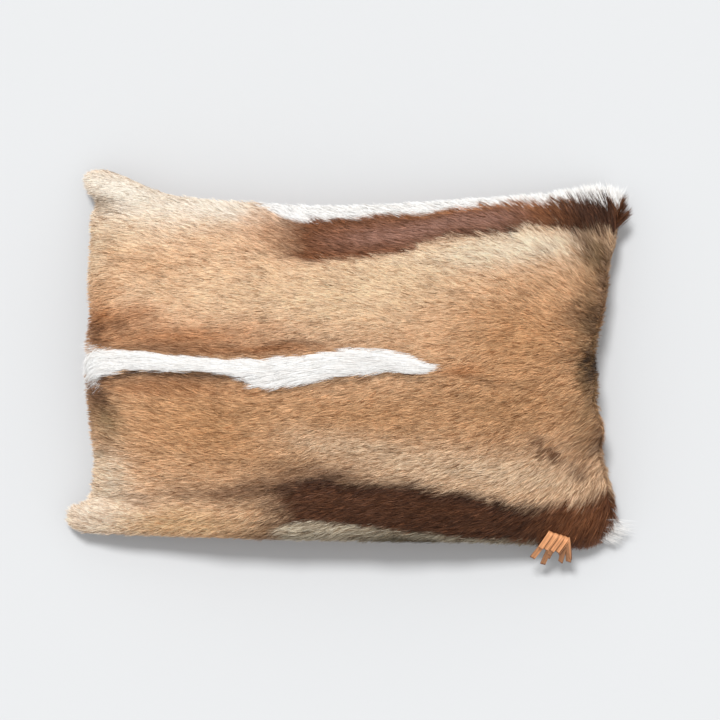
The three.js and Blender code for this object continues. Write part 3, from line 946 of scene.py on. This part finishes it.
def coat_guides():
    """Guides in the parts of a grid, where short hair grows."""
    grid = np.meshgrid(np.arange(GUIDES["long"]), np.arange(GUIDES["short"]), indexing="ij")
    many = grid[0].size
    s = (grid[0].ravel() + rng.uniform(0, 1, many)) / GUIDES["long"] * 2 - 1
    t = (grid[1].ravel() + rng.uniform(0, 1, many)) / GUIDES["short"] * 2 - 1
    x, y = skin_plan(s, t).T
    longer, lifted = long_hair(x, y)
    table = guide_table(
        s,
        t,
        heading=lie(x, y) + uneven(x, y, "heading") + rng.normal(0, VARIES["heading"], many),
        length=(COAT["length"] + longer) * rng.uniform(*VARIES["length"], many),
        lift=(COAT["lift"] + lifted) * rng.uniform(*VARIES["lift"], many),
        pull=COAT["pull"] * (1 - LOOSE["share"] * ramp(-s, *LOOSE["s"])),
        shift=np.clip(rng.normal(0, VARIES["shift"], many), *VARIES["shifts"]),
        phase=rng.uniform(0, 2 * math.pi, many),
        shade=np.exp(rng.normal(0, VARIES["shade"], many)) * (1 + uneven(x, y, "shade")),
        **COAT_HAIR,
    )
    grown = np.abs(crest_place(x, y)[0]) > BARE["crest"]
    grown = grown & (rng.uniform(0, 1, many) > BARE["share"] * spot(x, y, *BARE["place"]))
    return {name: column[grown] for name, column in table.items()}


coat = coat_guides()
left, upper = coat["s"] < 0, coat["t"] >= 0
for name, chosen in (
    ("coat_upper_left", left & upper),
    ("coat_upper_right", ~left & upper),
    ("coat_lower_left", left & ~upper),
    ("coat_lower_right", ~left & ~upper),
):
    part = {column: values[chosen] for column, values in coat.items()}
    hair_piece(name, *grow(part, hairs(GUIDES["hairs"]), 3))

# The crest: long white hair in flat waves

CREST_GUIDES = {
    "guides": 1000, "hairs": 20, "length": 34, "lengths": (0.75, 1.15), "lift": 5, "lifts": (0.8, 1.2),
}
INSIDE = 0.999
CREST_HAIR = {
    "spread": 1.3, "width": 0.5, "roll": 14, "stray": 1.6, "shift": 0, "wave": 0.7, "reach": 0.6,
    "droop": 0.6,
}

# Its guides' distance from the ends and edges, and where they draw together
CREST_ROOM = {"left": 8, "right": 18, "rim": 3, "closer": 0.7, "x": (58, 86)}

# Its heading follows the edges, within limits, and turns down at the left end
CREST_LIE = {"step": 10, "limits": (-4, 12), "turn": 62, "x": (254, 282), "spread": 2.5}

# Its lower tuft, whose hairs gather: x where it begins, -x where it ends, share across and turn
TUFT = {"from": (-112, -104), "to": (58, 66), "share": (0.3, 0.6), "turn": 15}

# Its waves: gathering and what the tuft adds, length and start of the waves, and brightness
CREST_WAVES = {"pull": 0.5, "tuft": 0.5, "length": 14, "start": 0.5, "shade": 0.04}


def find_place(x, y):
    """The s and t whose skin lies at x and y."""
    s = np.clip(x / HALF_LENGTH, -1, 1)
    t = np.clip(y / HALF_WIDTH, -1, 1)
    for _ in range(6):
        plan = skin_plan(s, t)
        ds, dt = plan_step(s, t, np.stack([x - plan[..., 0], y - plan[..., 1]], -1))
        s = np.clip(s + ds, -INSIDE, INSIDE)
        t = np.clip(t + dt, -INSIDE, INSIDE)
    return s, t


def edge_slope(x, column):
    rise = line_through(CREST, x + CREST_LIE["step"], column) - line_through(CREST, x, column)
    return np.degrees(np.arctan(rise / CREST_LIE["step"]))


def crest_table():
    """Guides with their middles spread over the crest."""
    many = CREST_GUIDES["guides"]
    x = rng.uniform(CREST[0][0] + CREST_ROOM["left"], CREST[-1][0] - CREST_ROOM["right"], many)
    low = line_through(CREST, x, 2)
    wide = line_through(CREST, x, 1) - low
    closer = 1 - CREST_ROOM["closer"] * ramp(x, *CREST_ROOM["x"])
    share = 0.5 + rng.uniform(-1, 1, many) * (0.5 - CREST_ROOM["rim"] / wide) * closer
    length = CREST_GUIDES["length"] * rng.uniform(*CREST_GUIDES["lengths"], many)
    slope = edge_slope(x, 2) * (1 - share) + edge_slope(x, 1) * share
    slope = np.clip(slope, *CREST_LIE["limits"])
    tuft = ramp(x, *TUFT["from"]) * ramp(-x, *TUFT["to"]) * (1 - ramp(share, *TUFT["share"]))
    slope = slope + (TUFT["turn"] - slope) * tuft
    down = CREST_LIE["turn"] * ramp(-x, *CREST_LIE["x"])
    heading = 180 + slope + down + rng.normal(0, CREST_LIE["spread"], many)
    x = x - 0.5 * length * np.cos(np.radians(heading))
    y = low + wide * share - 0.5 * length * np.sin(np.radians(heading))
    return guide_table(
        *find_place(x, y),
        heading=heading,
        length=length,
        lift=CREST_GUIDES["lift"] * rng.uniform(*CREST_GUIDES["lifts"], many),
        pull=CREST_WAVES["pull"] + CREST_WAVES["tuft"] * tuft,
        phase=x / CREST_WAVES["length"] + rng.normal(0, CREST_WAVES["start"], many),
        shade=np.exp(rng.normal(0, CREST_WAVES["shade"], many)),
        **CREST_HAIR,
    )


hair_piece("crest", *grow(crest_table(), hairs(CREST_GUIDES["hairs"]), 4, COLOURS["white"]))

# Rows of locks that stand out from the seam: side, from and to, count, heading and length from and to,
# and droop. Left and right run downwards.
LOCK_ROWS = (
    ("right", 0.035, 0.1, 18, 62, 38, 18, 25, 0.1),
    ("right", 0.11, 0.34, 56, 76, 48, 8, 7, 0.1),
    ("right", 0.34, 0.56, 64, 44, 8, 6, 5.5, 0.2),
    ("right", 0.56, 0.67, 22, -38, -72, 9, 17, 0.2),
    ("right", 0.67, 0.78, 16, -62, -56, 8, 9, 0.2),
    ("right", 0.78, 0.93, 26, -50, -70, 10, 21, 0.3),
    ("right", 0.94, 0.99, 7, -70, -84, 12, 12, 0.3),
)
WHITE_LOCK_ROWS = (
    ("top", 0.92, 0.995, 14, 118, 84, 6, 11, 0.1),
    ("right", 0.0, 0.05, 9, 80, 40, 14, 18, 0.2),
    ("right", 0.955, 1.0, 24, 0, -30, 38, 25, 0.35),
    ("left", 0.478, 0.55, 44, 184, 222, 20, 22, 0.3),
    ("left", 0.53, 0.56, 16, 216, 246, 19, 17, 0.2),
)
LOCKS = {"lift": 2.5, "spread": 2.4, "width": 0.5, "pull": 0.9}
WHITE_LOCKS = {"lift": 4, "spread": 4, "width": 0.26, "pull": 0.25}
LOCK_HAIRS = {"dark": 34, "white": 14}
ALL_LOCKS = {"roll": 30, "stray": 4, "wave": 0.8, "reach": 0.95}
# The dark seam locks are made darker still, as painted shade at the rim
LOCK_SHADE = 0.8

# How locks differ in heading, length, shift of the colour, start of the wave and brightness
LOCK_SPREAD = {"heading": 7, "length": (0.5, 1.05), "shift": (-3, 4), "phase": 6, "shade": 0.2}

# The s of a side's roots, or the t along the top
ROOTS = {"top": 0.99, "left": -0.94, "right": 0.99}


def seam_place(side, share):
    at_side = np.full_like(share, ROOTS[side])
    if side == "top":
        return 2 * share - 1, at_side
    return at_side, 1 - 2 * share


def lock_table(rows, shade, **values):
    columns = {"s": [], "t": [], "heading": [], "length": [], "droop": []}
    for side, start, end, count, heading_from, heading_to, length_from, length_to, droop in rows:
        share = (np.arange(count) + rng.uniform(0, 1, count)) / count
        s, t = seam_place(side, start + (end - start) * share)
        turn = rng.normal(0, LOCK_SPREAD["heading"], count)
        length = length_from + (length_to - length_from) * share
        columns["s"].append(s)
        columns["t"].append(t)
        columns["heading"].append(heading_from + (heading_to - heading_from) * share + turn)
        columns["length"].append(length * rng.uniform(*LOCK_SPREAD["length"], count))
        columns["droop"].append(np.full(count, droop))
    columns = {name: np.concatenate(parts) for name, parts in columns.items()}
    total = len(columns["s"])
    return guide_table(
        shift=rng.normal(*LOCK_SPREAD["shift"], total),
        phase=rng.uniform(0, LOCK_SPREAD["phase"], total),
        shade=shade * np.exp(rng.normal(0, LOCK_SPREAD["shade"], total)),
        **columns,
        **values,
        **ALL_LOCKS,
    )


locks = grow(lock_table(LOCK_ROWS, LOCK_SHADE, **LOCKS), hairs(LOCK_HAIRS["dark"]), 4)
hair_piece("seam_locks", *locks)
white_locks = lock_table(WHITE_LOCK_ROWS, 1, **WHITE_LOCKS)
white_locks = grow(white_locks, hairs(LOCK_HAIRS["white"]), 4, COLOURS["white"])
hair_piece("white_seam_locks", *white_locks)

# The tassel: strips folded over their pull, with rounded edges, fibrous faces, dark cuts that are partly
# painted shade, and painted shade on their under sides and lower layers

STRIP = {"width": 5.9, "thickness": 1.6, "steps": 18, "corner": 0.35}
FIBRE = {"lines": 9, "relief": 0.14, "tone": 0.18, "fleck": 0.04}

# The roll that the strips hang over: its middle, heading, fall, length and radius
FOLD = {"middle": (228, -183, 55), "heading": -20, "fall": 16, "length": 24, "radius": 2.6}

# The roll's rings: places as shares of its length, and sizes
FOLD_RINGS = ((-0.5, 0.55), (-0.49, 0.85), (-0.46, 1), (0, 1), (0.46, 1), (0.49, 0.85), (0.5, 0.55))
FOLD_STEP = 20

# A strip's line over the roll, in radii and shares of its rise, and its share of the drop half way
OVER_ROLL = ((-1, 0), (-0.4, 0.8), (0.6, 1))
HALF_WAY = 0.42

# Strips from the top layer down: place along the fold, rise over it, end off the fold's middle, drop and turn
STRIPS = (
    (-9.3, 3.2, -18.7, -12.7, 10, -6), (-2.4, 3.2, -12.6, -14.6, 11, 0), (3.8, 3.2, -6.2, -16.2, 11, 4),
    (8.8, 2.6, -0.4, -16.8, 10, 10), (-8.4, 0.8, -26.5, -24.2, 23, -8), (-2.6, 0.8, -9.2, -20.6, 20, 6),
    (10.4, 1.2, 2.4, -19.0, 16, 62), (0.6, -0.8, -9.8, -24.4, 23, -4), (9.6, -0.6, 4.8, -29.2, 26, 36),
    (11.4, 1.4, 14.8, -25.0, 20, 68), (11.0, -0.8, 13.6, -28.8, 25, 30), (-3.4, -2.4, -14.6, -31.6, 29, -6),
)
# The strips' cut sides: the leather's own darker cut with painted shade on it; their under sides: painted
# shade
LEATHER = {"top": linear(222, 156, 108), "cut": linear(126, 74, 44), "under": linear(120, 74, 48)}

# Lower layers are darker, as painted shade under the strips above: brightness of a strip by its rise
LAYERS = {"rise": (-1, 2.6), "brightness": (0.6, 1)}

fold_heading = math.radians(FOLD["heading"])
fold_fall = math.tan(math.radians(FOLD["fall"]))
fold_way = np.array([math.cos(fold_heading), math.sin(fold_heading), -fold_fall])
fold_middle = np.array(FOLD["middle"])


def tube(points):
    """Triangles round a tube and at its ends."""
    count = points.shape[1]
    n = np.arange(points.shape[0] * count).reshape(-1, count)
    after = np.roll(n, -1, axis=1)
    a, b, c, d = n[:-1], after[:-1], after[1:], n[1:]
    sides = np.stack([a, c, b, a, d, c], -1).reshape(-1, 3)
    last = n[-1, 0]
    ends = [(0, k, k + 1) for k in range(1, count - 1)]
    ends += [(last, last + k + 1, last + k) for k in range(1, count - 1)]
    return np.concatenate([sides, np.array(ends)])


def strip_ring():
    """A strip's section, with rounded corners and uneven fibres."""
    half_w, half_t, corner = STRIP["width"] / 2, STRIP["thickness"] / 2, STRIP["corner"]
    ring = []
    for sign_w, sign_t, first in ((1, 1, 0), (-1, 1, 90), (-1, -1, 180), (1, -1, 270)):
        for angle in np.radians((first, first + 45, first + 90)):
            aside = sign_w * (half_w - corner) + corner * math.cos(angle)
            ring.append((aside, sign_t * (half_t - corner) + corner * math.sin(angle)))
        if sign_w == sign_t:
            for line in range(1, FIBRE["lines"]):
                sunk = FIBRE["relief"] * rng.uniform(0, 1)
                aside = (half_w - corner) * (1 - 2 * line / FIBRE["lines"])
                ring.append((sign_w * aside, sign_t * (half_t - sunk)))
    return np.array(ring)


def strip_mesh(along, rise, end_x, end_y, drop, turn):
    """One strip along a bent line, with its colours."""
    root = fold_middle + fold_way * along
    out = np.array([fold_middle[0] + end_x - root[0], fold_middle[1] + end_y - root[1]])
    reach = np.hypot(*out)
    out = out / reach
    knots = [(FOLD["radius"] * outwards, rise * upwards) for outwards, upwards in OVER_ROLL]
    knots = np.array(knots + [(reach / 2, rise - drop * HALF_WAY), (reach, rise - drop)])
    at = np.r_[0, np.cumsum(np.hypot(*np.diff(knots, axis=0).T))]
    places = np.linspace(0, at[-1], STRIP["steps"] + 1)
    outwards, up = (smooth_column(at, column, places) for column in knots.T)
    centre = np.stack([root[0] + out[0] * outwards, root[1] + out[1] * outwards, root[2] + up], -1)
    way = unit(np.gradient(centre, axis=0))
    level = np.array([-out[1], out[0], 0])
    angle = np.radians(turn) * np.linspace(0, 1, len(centre))[:, None]
    side = level * np.cos(angle) + np.cross(way, level) * np.sin(angle)
    normal = np.cross(way, side)
    ring = strip_ring()
    points = centre[:, None] + side[:, None] * ring[None, :, :1] + normal[:, None] * ring[None, :, 1:]

    # Cut sides darker, partly painted shade; under sides and lower layers in painted shade
    is_cut = np.abs(ring[:, 1:]) < STRIP["thickness"] / 2 - STRIP["corner"] / 2
    colours = np.where(is_cut, LEATHER["cut"], np.where(ring[:, 1:] > 0, LEATHER["top"], LEATHER["under"]))
    fibre = rng.normal(0, FIBRE["tone"], (1, len(ring), 1))
    fibre = np.exp(fibre + rng.normal(0, FIBRE["fleck"], (len(centre), len(ring), 1)))
    colours = below_white(colours * fibre * np.interp(rise, LAYERS["rise"], LAYERS["brightness"]))
    colours[-1] = LEATHER["cut"]
    return points.reshape(-1, 3), tube(points), colours.reshape(-1, 3)


def roll_mesh():
    """The pull's roll that the strips hang over."""
    around = np.radians(np.arange(0, 360, FOLD_STEP))[:, None]
    way = unit(fold_way)
    side = unit(np.cross(way, (0, 0, 1)))
    up = np.cross(side, way)
    rings = []
    for along, size in FOLD_RINGS:
        radius = FOLD["radius"] * size
        centre = fold_middle + way * along * FOLD["length"]
        rings.append(centre + side * np.cos(around) * radius + up * np.sin(around) * radius)
    points = np.array(rings)
    flat = points.reshape(-1, 3)
    return flat, tube(points), np.broadcast_to(LEATHER["top"], flat.shape)


points, rows, colours = zip(*[strip_mesh(*row) for row in STRIPS], roll_mesh())
starts = np.cumsum([0] + [len(part) for part in points])
rows = np.concatenate([part + first for part, first in zip(rows, starts)])
tassel = mesh_piece("tassel_strips", np.concatenate(points) * MM, rows, np.concatenate(colours))
tassel.data.materials.append(strip_material())
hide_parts("tassel")

# Pale floor, soft key from the image's top and even fill

FLOOR = {"half": 6, "height": -0.0005, "colour": (0.65, 0.66, 0.67, 1)}
KEY = {"way": (-0.15, 0.46, 0.88), "distance": 3, "spread": 14, "strength": 2.4}
FILL = 0.65

half = FLOOR["half"]
floor_corners = [(-half, -half, 0), (half, -half, 0), (half, half, 0), (-half, half, 0)]
floor_mesh = bpy.data.meshes.new("floor")
floor_mesh.from_pydata(floor_corners, [], [(0, 1, 2, 3)])
floor = in_scene("floor", floor_mesh)
floor.location.z = FLOOR["height"]
floor_look = Look("pale floor", {"Base Color": FLOOR["colour"], "Roughness": 0.9, "Specular IOR Level": 0.1})
floor_mesh.materials.append(floor_look.material)

key_light = bpy.data.lights.new("key", "SUN")
key_light.angle = math.radians(KEY["spread"])
key_light.energy = KEY["strength"]
key = in_scene("key", key_light)
towards = Vector(KEY["way"]).normalized()
key.location = towards * KEY["distance"]
key.rotation_euler = towards.to_track_quat("Z", "Y").to_euler()

world = bpy.data.worlds.new("world")
world.use_nodes = True
background = world.node_tree.nodes["Background"]
background.inputs["Color"].default_value = (1, 1, 1, 1)
background.inputs["Strength"].default_value = FILL
bpy.context.scene.world = world
bpy.context.scene.view_settings.view_transform = "Standard"
